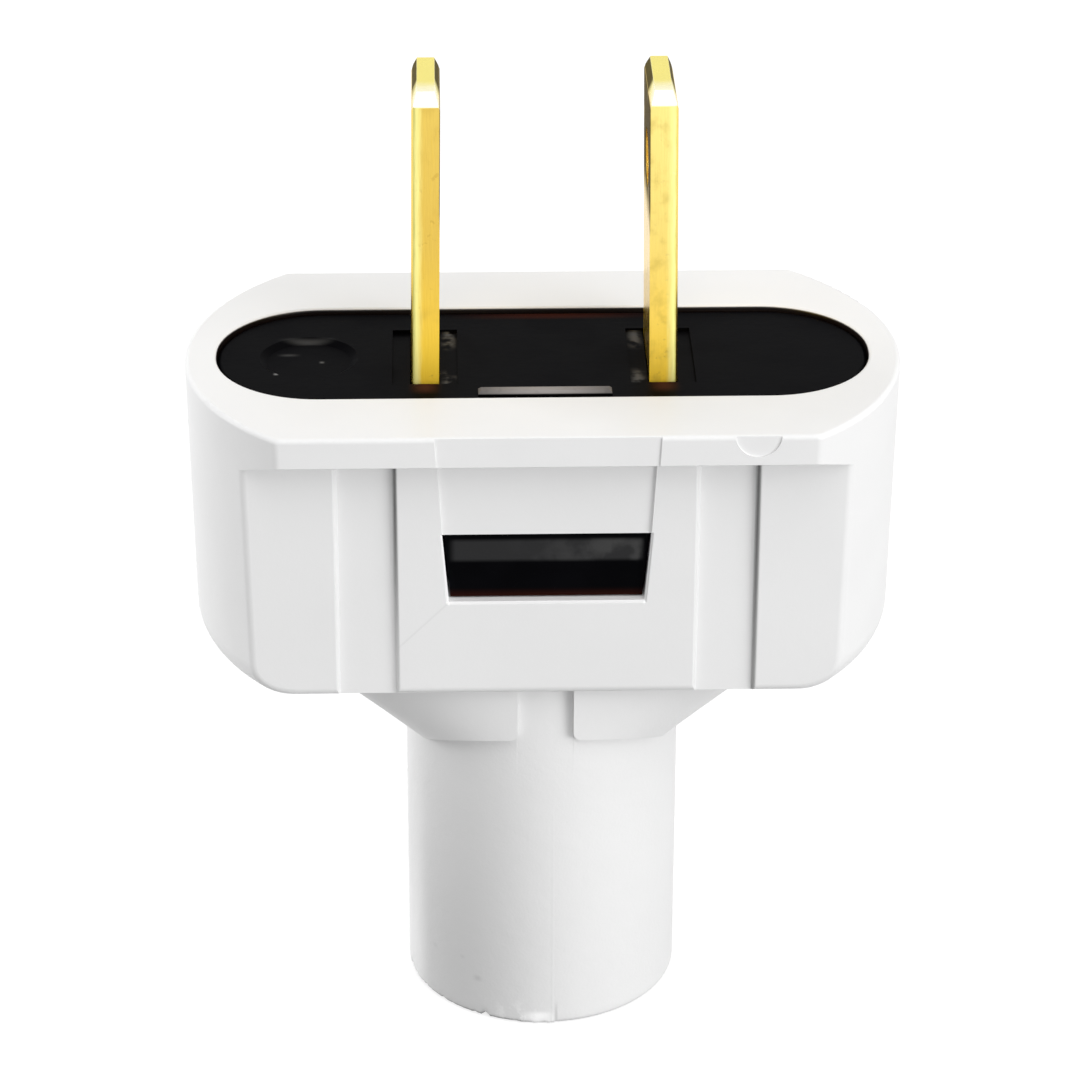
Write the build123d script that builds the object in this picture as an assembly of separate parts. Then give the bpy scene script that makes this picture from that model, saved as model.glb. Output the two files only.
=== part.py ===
from build123d import *
import math
import os

# Rewirable two-prong plug, standing on the end of its neck.
# Millimetres. Z runs up along the blades, X from blade to blade, and the latch window faces -Y.

# Neck and the bore for the cord
neck_radius = 7.6
neck_height = 22.1
neck_end_round = 0.35
cord_bore_radius = 5.0
bore_mouth_chamfer = 0.5

# Head of the shell
rim_width = 38.5
end_radius = 14.15
head_height = 16.2
head_draft = 0.9
head_corner_round = 2.0
panel_depth = 18.0
panel_edge_round = 0.5
lip_depth = 21.8
lip_thickness = 1.65
lip_underside_drop = 0.95
rim_round = 0.25
lip_corner_round = 0.6
mouth_round = 0.2
floor_thickness = 1.9
chamber_end_wall = 4.25
chamber_depth = 9.6
chamber_corner = 3.0

# Grip channels, two on each panel, deepest at their tops, with walls that lean by some degrees
channel_centre = 9.55
channel_width = 3.3
channel_top_depth = 0.5
channel_low_depth = 0.35
channel_wall_lean = 22
channel_edge_round = 0.12

# Latch window in the front panel, and the shallow relief above it
window_drop = 6.6
window_height = 3.95
window_top_width = 11.05
window_bottom_width = 10.4
window_edge_chamfer = 0.12
relief_top_width = 11.8
relief_depth = 0.2

# Round mould mark on the lip
gate_mark_radius = 1.2
gate_mark_offset = 10.9
gate_mark_depth = 0.1

# Oval collar between head and neck. Its lower edge dips towards the sides, where it runs out into the neck.
collar_height = 3.4
collar_top_width = 30.6
collar_top_depth = 16.3
collar_low_width = 21.0
collar_low_depth = 16.1
collar_dip = 3.7
collar_dip_slope = 0.5
collar_edge_round = 0.4
key_slot_width = 3.05

# Core, the black block that drops into the head
face_end_border = 1.7
face_depth = 11.6
face_corner = 5.6
face_recess = 0.3
face_edge_round = 0.2
face_thickness = 2.6
core_clearance = 0.1
core_height = 9.5
core_body_setback = 3.05
terminal_pocket_depth = 8.8
dimple_radius = 2.65
dimple_wall_run = 0.4
dimple_depth = 0.25
dimple_setback = 4.95
blade_recess_width = 3.5
blade_recess_length = 7.0
blade_recess_depth = 0.2
finger_rib_width = 7.1
finger_rib_depth = 0.75
finger_rib_height = 0.3
finger_rib_setback = 0.6

# Latch tongue on the front of the core
tongue_width = 8.8
tongue_thickness = 1.5
tongue_side_slit = 0.5
tongue_flex_gap = 2.4
latch_clearance = 0.1
nub_setback = 0.4
nub_land_height = 1.9
nub_ramp_depth = 0.15

# Plate under the core
base_thickness = 1.5
wire_hole_radius = 2.2
wire_hole_offset = 11.0

# Blades
blade_spacing = 12.7
blade_thickness = 1.5
blade_width = 6.35
blade_length = 16.15
blade_toe_in = 0.2
blade_tail_width = 8.4
blade_slot_clearance = 0.05
blade_hole_radius = 1.6
blade_hole_height = 11.45
tip_bevel_height = 0.9
tip_bevel_depth = 0.3
tip_corner = 0.65
blade_edge_round = 0.3

# Terminal screws and clamp plates
terminal_height = 3.35
screw_radius = 1.75
screw_length = 4.7
screw_head_radius = 3.0
screw_head_height = 1.9
screw_slot_width = 0.8
screw_slot_depth = 0.9
thread_clearance = 0.03
screw_relief_clearance = 0.15
clamp_plate_size = 6.4
clamp_plate_thickness = 0.9
clamp_plate_clearance = 0.15

# Screw that holds the plate to the core
core_screw_radius = 1.45
core_screw_length = 6.0
core_screw_head_radius = 2.5
core_screw_head_height = 1.5
core_screw_offset = 1.9
core_screw_hole_clearance = 0.15

# Heights that follow from the sizes above
rim_z = neck_height + head_height
lip_z = rim_z - lip_thickness
lip_root_z = lip_z - lip_underside_drop
floor_z = neck_height + floor_thickness
face_z = rim_z - face_recess
face_under_z = face_z - face_thickness
core_low_z = face_z - core_height
seat_z = core_low_z - base_thickness
window_top_z = rim_z - window_drop
window_low_z = window_top_z - window_height
tongue_low_z = window_low_z + latch_clearance
terminal_z = core_low_z + terminal_height
collar_low_z = neck_height - collar_height

# Distances across that follow from the sizes above
chamber_width = rim_width - 2 * chamber_end_wall
face_width = rim_width - 2 * face_end_border
core_body_width = face_width - 2 * core_body_setback
dimple_x = -face_width / 2 + dimple_setback
blade_x = blade_spacing / 2
tail_inner_x = blade_x - blade_thickness / 2
tail_outer_x = blade_x + blade_thickness / 2
panel_y = panel_depth / 2
lip_y = lip_depth / 2
pocket_y = face_depth / 2
core_y = pocket_y - core_clearance
slit_front_y = core_y - tongue_thickness
slit_back_y = slit_front_y - tongue_flex_gap
overcut = 1.0


def block(x, y, z):
    """Box from its lowest to its highest value on each axis."""
    return Pos(x[0], y[0], z[0]) * Box(x[1] - x[0], y[1] - y[0], z[1] - z[0], align=(Align.MIN,) * 3)


def upright(outline, low, high):
    """Outline raised from one height to another."""
    return Pos(0, 0, low) * extrude(outline, high - low, dir=(0, 0, 1))


def rod_z(radius, low, high):
    """Upright round rod on the Z axis."""
    return upright(Circle(radius), low, high)


def rod_x(radius, start, end):
    """Round rod along X at the height of the terminals."""
    return Pos(start, 0, terminal_z) * Rot(0, 90, 0) * extrude(Circle(radius), end - start)


def facing_front(outline, near, far):
    """Outline drawn in X and Z, and given depth from one Y to another."""
    return Pos(0, far, 0) * extrude(Plane.XZ * outline, far - near, dir=(0, -1, 0))


def across(outline, start, end):
    """Outline drawn in Y and Z, and given width from one X to another."""
    return Pos(start, 0, 0) * extrude(Plane.YZ * outline, end - start, dir=(1, 0, 0))


def pair(solid):
    """The solid and its mirror image in the YZ plane, by side."""
    return {"left": mirror(solid, Plane.YZ), "right": solid}


def core_outline(clearance):
    """Outline of the face, drawn in by a clearance."""
    return RectangleRounded(face_width - 2 * clearance, face_depth - 2 * clearance, face_corner - clearance)


def head_blank():
    """Head before its panels are cut: two round ends, drafted, with a rounded lower edge."""
    separation = rim_width - 2 * end_radius
    low_radius = end_radius - head_height * math.tan(math.radians(head_draft))
    low = Pos(0, 0, neck_height) * SlotCenterToCenter(separation, 2 * low_radius)
    top = Pos(0, 0, rim_z) * SlotCenterToCenter(separation, 2 * end_radius)
    blank = loft([low, top], ruled=True)
    return fillet(blank.faces().sort_by(Axis.Z)[0].edges(), head_corner_round)


def lip_section():
    """Lip from front to back, with a flat top and an underside that slopes down to the panels."""
    return Polygon(
        (-panel_y, lip_root_z),
        (panel_y, lip_root_z),
        (lip_y, lip_z),
        (lip_y, rim_z),
        (-lip_y, rim_z),
        (-lip_y, lip_z),
        align=None,
    )


def head():
    """Head with flat panels front and back under a projecting lip."""
    blank = head_blank()
    body = blank & upright(Rectangle(2 * rim_width, panel_depth), neck_height, lip_z)
    panels = body.faces().filter_by(Axis.Y)
    edges = [edge for panel in panels for edge in panel.edges() if edge.center().Z < lip_z - panel_edge_round]
    body = fillet(edges, panel_edge_round)
    lip = blank & across(lip_section(), -rim_width, rim_width)
    middle_z = (lip_z + rim_z) / 2
    upright_edges = lip.edges().filter_by(lambda e: abs(e.center().Z - middle_z) < lip_thickness / 4)
    lip = fillet(upright_edges, lip_corner_round)
    lip = fillet(lip.faces().sort_by(Axis.Z)[-1].edges(), rim_round)
    return body + lip


def channel_section(depth, z):
    """Section of a grip channel at one height, with leaning walls and rounded edges."""
    half_mouth = channel_width / 2
    half_floor = half_mouth - depth * math.tan(math.radians(channel_wall_lean))
    half_flare = half_mouth + 2 * channel_edge_round
    section = Polygon(
        (-half_floor, -depth),
        (half_floor, -depth),
        (half_mouth, 0),
        (half_flare, 0),
        (half_flare, overcut),
        (-half_flare, overcut),
        (-half_flare, 0),
        (-half_mouth, 0),
        align=None,
    )
    near = channel_edge_round / 4
    mouth = [corner for corner in section.vertices() if abs(abs(corner.X) - half_mouth) < near]
    return Pos(0, 0, z) * fillet(mouth, channel_edge_round)


def grip_channels():
    """Channels from the root of the lip down over the head's lower edge."""
    low = channel_section(channel_low_depth, neck_height - overcut)
    top = channel_section(channel_top_depth, lip_root_z)
    channel = loft([low, top], ruled=True)
    rear = [Pos(x, panel_y, 0) * channel for x in (-channel_centre, channel_centre)]
    return rear + [Rot(0, 0, 180) * cut for cut in rear]


def window_outline(margin):
    """Window, wider at its top, drawn in by a margin."""
    top = window_top_width / 2 - margin
    low = window_bottom_width / 2 - margin
    return Polygon(
        (-low, window_low_z + margin),
        (low, window_low_z + margin),
        (top, window_top_z - margin),
        (-top, window_top_z - margin),
        align=None,
    )


def latch_window():
    """Hole through the front panel, with a small chamfer round its mouth."""
    hole = facing_front(window_outline(0), -panel_y - overcut, -pocket_y + overcut)
    inner = Pos(0, -panel_y + window_edge_chamfer, 0) * (Plane.XZ * window_outline(0))
    outer = Pos(0, -panel_y - window_edge_chamfer, 0) * (Plane.XZ * window_outline(-2 * window_edge_chamfer))
    return hole + loft([inner, outer], ruled=True)


def latch_relief():
    """Shallow relief from the top of the lip down to the window."""
    top = relief_top_width / 2
    low = window_top_width / 2
    strip = Polygon((-low, window_top_z), (low, window_top_z), (top, rim_z), (-top, rim_z), align=None)
    on_panel = facing_front(strip, -panel_y - overcut / 2, -panel_y + relief_depth)
    on_lip = facing_front(strip, -lip_y - overcut, -lip_y + relief_depth / 2)
    return (on_panel & upright(Rectangle(rim_width, 2 * rim_width), neck_height, lip_root_z)) + on_lip


def collar_outline(z):
    """Oval outline of the collar at one height, also below its front edge."""
    share = (neck_height - z) / collar_height
    width = collar_top_width + (collar_low_width - collar_top_width) * share
    depth = collar_top_depth + (collar_low_depth - collar_top_depth) * share
    return Pos(0, 0, z) * Ellipse(width / 2, depth / 2)


def collar():
    """Shoulder that narrows from the head to the neck, with the key slot in its front."""
    dip_z = collar_low_z - collar_dip
    solid = loft([collar_outline(dip_z), collar_outline(neck_height)], ruled=True)
    middle_z = collar_low_z - collar_dip_slope * collar_low_depth / 2
    outer_z = middle_z + collar_dip_slope * collar_low_depth
    below = Polygon(
        (-collar_low_depth, outer_z),
        (0, middle_z),
        (collar_low_depth, outer_z),
        (collar_low_depth, middle_z - overcut),
        (-collar_low_depth, middle_z - overcut),
        align=None,
    )
    solid -= across(below, -collar_top_width, collar_top_width)
    half = key_slot_width / 2
    solid -= block((-half, half), (-collar_top_depth, -neck_radius + overcut), (dip_z - overcut, neck_height))
    corners = solid.edges().filter_by(on_slot_corner)
    return fillet(corners, collar_edge_round)


def on_slot_corner(edge):
    """Whether an edge is one of the two lower corners of the key slot."""
    middle = edge.center()
    on_wall = abs(abs(middle.X) - key_slot_width / 2) < key_slot_width / 100
    return on_wall and abs(edge.tangent_at(0.5).X) < 0.01 and middle.Z < collar_low_z + collar_edge_round


def shell():
    """White moulding: head, collar and neck in one piece."""
    neck = rod_z(neck_radius, 0, floor_z)
    neck = fillet(neck.edges().sort_by(Axis.Z)[0], neck_end_round)
    solid = head() - grip_channels() - latch_relief() - latch_window()
    solid = solid + collar() + neck
    solid -= upright(core_outline(0), seat_z, rim_z + overcut)
    solid = fillet(solid.faces().sort_by(Axis.Z)[-1].inner_wires()[0].edges(), mouth_round)
    solid -= upright(RectangleRounded(chamber_width, chamber_depth, chamber_corner), floor_z, seat_z)
    solid -= rod_z(cord_bore_radius, -overcut, floor_z)
    mouth = Pos(0, 0, bore_mouth_chamfer / 2) * Cone(
        cord_bore_radius + bore_mouth_chamfer, cord_bore_radius, bore_mouth_chamfer
    )
    solid -= mouth
    mark = Rot(90, 0, 0) * Cylinder(gate_mark_radius, 2 * gate_mark_depth)
    return solid - Pos(gate_mark_offset, -lip_y, rim_z) * mark


def latch_nub():
    """Nub that fills the window: an upright land over a ramp that leads it in."""
    land_y = -panel_y + nub_setback
    ears_y = -pocket_y - core_clearance
    land_low_z = window_top_z - nub_land_height
    section = Polygon(
        (ears_y, tongue_low_z),
        (land_y + nub_ramp_depth, tongue_low_z),
        (land_y, land_low_z),
        (land_y, window_top_z),
        (ears_y, window_top_z),
        align=None,
    )
    half = window_top_width / 2
    ears = across(section, -half, half)
    ears &= facing_front(window_outline(latch_clearance), -panel_y, -pocket_y)
    stem_z = (tongue_low_z, window_top_z - latch_clearance)
    stem = block((-tongue_width / 2, tongue_width / 2), (ears_y, -slit_front_y), stem_z)
    return ears + stem


def core():
    """Black moulding: face, latch tongue, middle block and the walls of the terminal pockets."""
    solid = upright(core_outline(core_clearance), core_low_z, face_z)
    solid = fillet(solid.faces().sort_by(Axis.Z)[-1].edges(), face_edge_round)
    half_pocket = terminal_pocket_depth / 2
    slit_half = tongue_width / 2 + tongue_side_slit
    below_face = (core_low_z - overcut, face_under_z)
    solid -= block((-slit_half, slit_half), (-slit_front_y, -slit_back_y), below_face)
    for side in (-1, 1):
        end = sorted((side * core_body_width / 2, side * face_width))
        pocket = sorted((side * tail_inner_x, side * face_width))
        slit = sorted((side * tongue_width / 2, side * slit_half))
        solid -= block(end, (-face_depth, face_depth), below_face)
        solid -= block(pocket, (-half_pocket, half_pocket), below_face)
        solid -= block(slit, (-face_depth, -slit_front_y + overcut / 10), below_face)
        relief_radius = screw_radius + screw_relief_clearance
        relief_end = tail_outer_x + clamp_plate_thickness - screw_length - 2 * screw_relief_clearance
        solid -= rod_x(relief_radius, *sorted((side * relief_end, side * tail_inner_x)))
        slot = blade_slot(blade_slot_clearance)
        recess = Rectangle(blade_recess_width, blade_recess_length)
        solid -= Pos(side * blade_x, 0, 0) * upright(slot, face_under_z - overcut / 2, face_z + overcut)
        solid -= Pos(side * blade_x, 0, 0) * upright(recess, face_z - blade_recess_depth, face_z + overcut)
    screw_hole = rod_z(core_screw_radius + thread_clearance, core_low_z - overcut, face_under_z)
    solid -= Pos(0, core_screw_offset, 0) * screw_hole
    return solid - dimple() + finger_rib() + latch_nub()


def blade_slot(clearance):
    """Section of a blade with a clearance all round."""
    return Rectangle(blade_thickness + 2 * clearance, blade_width + 2 * clearance)


def dimple():
    """Round recess in the face, with a flat floor and a sloping wall."""
    recess = Cone(dimple_radius - dimple_wall_run, dimple_radius, dimple_depth)
    return Pos(dimple_x, 0, face_z - dimple_depth / 2) * recess


def finger_rib():
    """Low rib on the face, over the latch tongue."""
    front_y = -pocket_y + finger_rib_setback
    half = finger_rib_width / 2
    top_z = face_z + finger_rib_height
    rib = block((-half, half), (front_y, front_y + finger_rib_depth), (face_z - overcut, top_z))
    return chamfer(rib.faces().sort_by(Axis.Z)[-1].edges(), finger_rib_height / 2)


def core_base():
    """Plate under the core, open for the conductors, the latch tongue and the screw."""
    solid = upright(core_outline(core_clearance), seat_z, core_low_z)
    slit_half = tongue_width / 2 + tongue_side_slit
    through = (seat_z - overcut, core_low_z + overcut)
    solid -= block((-slit_half, slit_half), (-face_depth, -slit_back_y), through)
    for x in (-wire_hole_offset, wire_hole_offset):
        solid -= Pos(x, 0, 0) * rod_z(wire_hole_radius, *through)
    screw_hole = rod_z(core_screw_radius + core_screw_hole_clearance, *through)
    return solid - Pos(0, core_screw_offset, 0) * screw_hole


def blade():
    """Right-hand blade: tail in the core, shoulders under the face, bevelled tip."""
    tip_z = face_z + blade_length
    bevel_z = tip_z - tip_bevel_height
    lean = blade_toe_in * (blade_length - tip_bevel_height) / blade_length
    profile = Polygon(
        (tail_inner_x, core_low_z),
        (tail_outer_x, core_low_z),
        (tail_outer_x, face_z),
        (tail_outer_x - lean, bevel_z),
        (tail_outer_x - blade_toe_in - tip_bevel_depth, tip_z),
        (tail_inner_x - blade_toe_in + tip_bevel_depth, tip_z),
        (tail_inner_x - lean, bevel_z),
        (tail_inner_x, face_z),
        align=None,
    )
    solid = facing_front(profile, -blade_width / 2, blade_width / 2)
    long_edges = solid.edges().filter_by(lambda e: e.center().X > blade_x and e.length > blade_length / 2)
    solid = fillet(long_edges, blade_edge_round)
    half = blade_width / 2
    for side in (-1, 1):
        inward = side * (half - tip_corner)
        corner = Polygon((side * half, tip_z), (side * half, tip_z - tip_corner), (inward, tip_z), align=None)
        solid -= across(corner, 0, blade_spacing)
    hole = Rot(0, 90, 0) * extrude(Circle(blade_hole_radius), blade_spacing)
    tail_half = blade_tail_width / 2
    tail = block((tail_inner_x, tail_outer_x), (-tail_half, tail_half), (core_low_z, face_under_z))
    solid -= Pos(0, 0, face_z + blade_hole_height) * hole
    return solid + tail - rod_x(screw_radius + thread_clearance, 0, blade_spacing)


def clamp_plate():
    """Square plate between the right-hand blade's tail and the screw's head."""
    half = clamp_plate_size / 2
    outer_x = tail_outer_x + clamp_plate_thickness
    plate = block((tail_outer_x, outer_x), (-half, half), (terminal_z - half, terminal_z + half))
    return plate - rod_x(screw_radius + clamp_plate_clearance, 0, blade_spacing)


def terminal_screw():
    """Right-hand binding screw, with a slotted head."""
    under_head_x = tail_outer_x + clamp_plate_thickness
    top_x = under_head_x + screw_head_height
    head_part = rod_x(screw_head_radius, under_head_x, top_x)
    head_part = fillet(head_part.edges().sort_by(Axis.X)[-1], screw_head_height / 4)
    half = screw_slot_width / 2
    reach = 2 * screw_head_radius
    slot_x = (top_x - screw_slot_depth, top_x + overcut)
    head_part -= block(slot_x, (-reach, reach), (terminal_z - half, terminal_z + half))
    return head_part + rod_x(screw_radius, under_head_x - screw_length, under_head_x)


def core_screw():
    """Screw from under the plate up into the core."""
    head_part = rod_z(core_screw_head_radius, seat_z - core_screw_head_height, seat_z)
    head_part = fillet(head_part.edges().sort_by(Axis.Z)[0], core_screw_head_height / 4)
    half = screw_slot_width / 2
    reach = 2 * core_screw_head_radius
    low_z = seat_z - core_screw_head_height
    head_part -= block((-reach, reach), (-half, half), (low_z - overcut, low_z + screw_slot_depth))
    shank = rod_z(core_screw_radius, seat_z, seat_z + core_screw_length)
    return Pos(0, core_screw_offset, 0) * (head_part + shank)


nodes = {
    "shell": shell(),
    "core": core(),
    "core_base": core_base(),
    "core_screw": core_screw(),
}
for name, solid in (("blade", blade()), ("terminal_screw", terminal_screw()), ("clamp_plate", clamp_plate())):
    for side, placed in pair(solid).items():
        nodes[f"{name}_{side}"] = placed

os.makedirs("parts", exist_ok=True)
for name, solid in nodes.items():
    export_step(solid, f"parts/{name}.step")
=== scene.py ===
import math

import bmesh
import bpy
from bpy.props import FloatProperty, FloatVectorProperty, IntProperty, PointerProperty
from mathutils import Matrix, Vector, noise
from mathutils.bvhtree import BVHTree
from mathutils.interpolate import poly_3d_calc


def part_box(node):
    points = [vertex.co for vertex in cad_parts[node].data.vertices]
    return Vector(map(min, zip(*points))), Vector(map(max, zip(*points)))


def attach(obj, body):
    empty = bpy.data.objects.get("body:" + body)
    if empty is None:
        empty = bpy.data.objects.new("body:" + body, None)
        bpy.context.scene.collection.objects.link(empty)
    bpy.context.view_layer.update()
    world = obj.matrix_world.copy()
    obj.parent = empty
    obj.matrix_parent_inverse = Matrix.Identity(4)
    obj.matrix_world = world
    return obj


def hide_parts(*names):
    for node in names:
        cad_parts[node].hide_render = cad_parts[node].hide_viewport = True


bl_info = {
    "name": "Two-prong plug",
    "version": (1, 0, 0),
    "blender": (4, 5, 0),
    "location": "View3D > Sidebar > Plug",
    "description": "Finishes a rewirable two-prong plug round its CAD frame",
    "category": "Object",
}

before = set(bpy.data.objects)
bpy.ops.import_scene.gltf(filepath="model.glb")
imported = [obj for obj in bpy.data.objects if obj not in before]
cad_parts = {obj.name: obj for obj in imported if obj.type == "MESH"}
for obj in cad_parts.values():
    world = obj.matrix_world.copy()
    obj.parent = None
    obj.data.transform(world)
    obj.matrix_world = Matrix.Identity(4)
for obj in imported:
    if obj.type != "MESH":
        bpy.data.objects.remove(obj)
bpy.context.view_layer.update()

MM = 0.001
BODY = "root"

# Places that follow from the frame, in metres
RIM_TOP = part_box("shell")[1].z
BLADE_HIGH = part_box("blade_right")[1]

# Neck of the shell, as the frame has it. What lies under the cut is made again, up to the join
NECK_RADIUS = 7.6 * MM
NECK_END_ROUND = 0.35 * MM
BORE_RADIUS = 5.0 * MM
BORE_CHAMFER = 0.5 * MM
NECK_JOIN = 15.0 * MM
NECK_CUT = NECK_JOIN + 0.6 * MM

# Blades above the face, in millimetres
BLADE_SPACING = 12.7
BLADE_WIDTH = 6.35
BLADE_THICKNESS = 1.5
TOE_IN = 0.2
TIP_BEVEL = 0.9
TIP_CORNER = 0.65

# Face of the core, below the rim
FACE_TOP = RIM_TOP - 0.3 * MM


# Shader maths


class Value:
    """A socket, or a number, whose arithmetic adds the Math nodes that work it out."""

    def __init__(self, tree, source):
        self.tree = tree
        self.source = source

    def math(self, operation, *others):
        return self.tree.node("ShaderNodeMath", {"operation": operation}, dict(enumerate((self, *others))))

    def __add__(self, other):
        return self.math("ADD", other)

    __radd__ = __add__

    def __mul__(self, other):
        return self.math("MULTIPLY", other)

    __rmul__ = __mul__

    def __sub__(self, other):
        return self.math("SUBTRACT", other)

    def __rsub__(self, other):
        return Value(self.tree, other).math("SUBTRACT", self)

    def __abs__(self):
        return self.math("ABSOLUTE")

    def __or__(self, other):
        return self.math("MAXIMUM", other)

    def smooth(self, low, high):
        """0 at low, 1 at high, and an even curve between. Low may be the larger."""
        values = {"Value": self, "From Min": low, "From Max": high}
        return self.tree.node("ShaderNodeMapRange", {"interpolation_type": "SMOOTHSTEP"}, values)

    def near(self, middle, reach):
        """1 at the middle value, falling to 0 at reach on both sides."""
        return abs(self - middle).smooth(reach, 0)


class Tree:
    """The nodes of a material or of the world, added one call at a time."""

    def __init__(self, owner):
        owner.use_nodes = True
        self.nodes = owner.node_tree.nodes
        self.links = owner.node_tree.links
        self.nodes.clear()

    def add(self, kind, settings, values):
        """The new node: its settings first, then its sockets' values and links."""
        node = self.nodes.new(kind)
        for name, setting in settings.items():
            if name == "stops":
                self.set_stops(node.color_ramp, setting)
            else:
                setattr(node, name, setting)
        for name, value in values.items():
            source = getattr(value, "source", value)
            if isinstance(source, bpy.types.NodeSocket):
                self.links.new(source, node.inputs[name])
            else:
                node.inputs[name].default_value = source
        return node

    def node(self, kind, settings, values, output=0):
        """One output of a new node."""
        return Value(self, self.add(kind, settings, values).outputs[output])

    @staticmethod
    def set_stops(ramp, stops):
        while len(ramp.elements) < len(stops):
            ramp.elements.new(1)
        for element, (place, shade) in zip(ramp.elements, stops):
            element.position = place
            element.color = opaque(shade)

    def place(self):
        """Object coordinates in millimetres, as all masks have them: the vector, then its three parts."""
        point = self.node("ShaderNodeTexCoord", {}, {}, "Object")
        point = self.node("ShaderNodeVectorMath", {"operation": "SCALE"}, {"Vector": point, "Scale": 1 / MM})
        parts = self.add("ShaderNodeSeparateXYZ", {}, {0: point})
        return point, *(Value(self, parts.outputs[axis]) for axis in "XYZ")

    def stretched(self, point, factors):
        return self.node("ShaderNodeVectorMath", {"operation": "MULTIPLY"}, {0: point, 1: factors})

    def noise(self, point, size, detail=2.0):
        """Noise whose blotches are about so many millimetres across."""
        return self.node("ShaderNodeTexNoise", {}, {"Vector": point, "Scale": 1 / size, "Detail": detail})

    def mix(self, factor, first, second):
        """Colour from the first to the second as the factor goes from 0 to 1."""
        values = {"Factor": factor, 6: opaque(first), 7: opaque(second)}
        return self.node("ShaderNodeMix", {"data_type": "RGBA"}, values, 2)

    def bump(self, height, distance):
        """Normal from a height, where a height of 1 is so many millimetres."""
        return self.node("ShaderNodeBump", {}, {"Height": height, "Distance": distance * MM})

    def finish(self, **values):
        """The shader and the output, from the sockets' values by name with _ for a space."""
        sockets = {name.replace("_", " "): opaque(value) for name, value in values.items()}
        shader = self.node("ShaderNodeBsdfPrincipled", {}, sockets)
        self.add("ShaderNodeOutputMaterial", {}, {"Surface": shader})


def opaque(value):
    """A colour as a socket takes it, with its alpha. Anything else is left as it is."""
    return (*value, 1.0) if hasattr(value, "__len__") and len(value) == 3 else value


def grey(level):
    return (level, level, level)


def new_material(name):
    material = bpy.data.materials.new(name)
    return material, Tree(material)


# Settings


def colour_field(name, description, default):
    return FloatVectorProperty(name=name, description=description, default=default, subtype="COLOR")


def length_field(name, description, default):
    return FloatProperty(name=name, description=description, default=default, unit="LENGTH")


def power_field(name, description, default):
    return FloatProperty(name=name, description=description, default=default, unit="POWER")


def roughness_field(description, default):
    return FloatProperty(
        name="Roughness", description=description, default=default, min=0.0, max=1.0, subtype="FACTOR"
    )


# Mesh work

# Distance under which two points are one, and under which a face lies on the frame's surface
SAME_POINT = 0.0005 * MM
SAME_SURFACE = 0.005 * MM


def add_object(name, mesh):
    piece = bpy.data.objects.new(name, mesh)
    bpy.context.scene.collection.objects.link(piece)
    return piece


def set_material(piece, material):
    piece.data.materials.clear()
    piece.data.materials.append(material)


def smooth_by_angle(mesh, degrees=28):
    mesh.polygons.foreach_set("use_smooth", [True] * len(mesh.polygons))
    mesh.set_sharp_from_angle(angle=math.radians(degrees))


def merged_copy(node):
    """Copy of a node's mesh, with its loose triangles joined up, ready to edit."""
    work = bmesh.new()
    work.from_mesh(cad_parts[node].data)
    bmesh.ops.remove_doubles(work, verts=work.verts, dist=SAME_POINT)
    return work


def to_mesh(work, name):
    mesh = bpy.data.meshes.new(name)
    bmesh.ops.recalc_face_normals(work, faces=work.faces)
    work.to_mesh(mesh)
    work.free()
    return mesh


def exact_normals(mesh, node):
    """Gives the faces that lie on a node's own the normals that the frame has there. Others keep theirs."""
    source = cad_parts[node].data
    points = [vert.co for vert in source.vertices]
    surface = BVHTree.FromPolygons(points, [face.vertices for face in source.polygons])
    normals = [corner.vector.copy() for corner in mesh.corner_normals]
    for face in mesh.polygons:
        _, _, nearest, distance = surface.find_nearest(face.center)
        if face.center.z < NECK_JOIN or distance > SAME_SURFACE:
            continue
        under = source.polygons[nearest]
        corners = [points[i] for i in under.vertices]
        shades = [source.corner_normals[i].vector for i in under.loop_indices]
        for loop in face.loop_indices:
            weights = poly_3d_calc(corners, mesh.vertices[mesh.loops[loop].vertex_index].co)
            blend = sum((shade * weight for shade, weight in zip(shades, weights)), Vector())
            normals[loop] = blend.normalized()
    mesh.normals_split_custom_set(normals)


# Shell


class ShellFinish(bpy.types.PropertyGroup):
    colour: colour_field("Plastic", "Colour of the moulded plastic", (0.84, 0.84, 0.84))
    # The same colour paints the window's sill and sides white, as a painted highlight
    scuff_and_lit_colour: colour_field("Scuffs", "Colour of the rubbed neck and the window's reveal", (1.0, 1.0, 1.0))
    # Painted shade for the channels' walls that face away from the light
    channel_shade_colour: colour_field("Grime", "Dirt along the foot of the grip channels", (0.05, 0.05, 0.05))
    # Painted shade on the upper walls of the opening round the core
    gap_shade_colour: colour_field("Gap", "Dirt in the gap round the core", (0.004, 0.0015, 0.001))
    roughness: roughness_field("Roughness of the plastic", 0.36)
    seam_height: length_field("Seam height", "How far the mould's seam stands off the neck", 0.009 * MM)
    seam_offset: length_field("Seam offset", "Distance of the seam from the middle", 0.45 * MM)
    nick_depth: length_field("Nick depth", "Depth of the nicks in the neck's end", 0.22 * MM)
    flash_reach: length_field("Flash", "How far the flash at the neck's end stands out", 0.1 * MM)


# Rings of the neck, in millimetres: heights down its wall, radii across its end and heights up its bore
WALL_HEIGHTS = (9, 5, 3, 2, 1.5, 1.2, 1, 0.85, 0.7, 0.55)
END_ROUND_STEPS = 6
END_RADII = (7.05, 6.8, 6.5, 6.1, 5.8, 5.6)
BORE_HEIGHTS = (3, 9)
NECK_COLUMNS = 240

# Seam of the mould: half its width, and the columns of points on it as shares of that
SEAM_HALF_WIDTH = 0.09 * MM
SEAM_COLUMNS = (-2.0, -1.0, -0.5, 0.0, 0.5, 1.0, 2.0)

# How far the wear of the neck's end goes up its wall, and in across its end
WEAR_HEIGHT = 0.9 * MM
WEAR_INSET = 1.1 * MM

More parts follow.
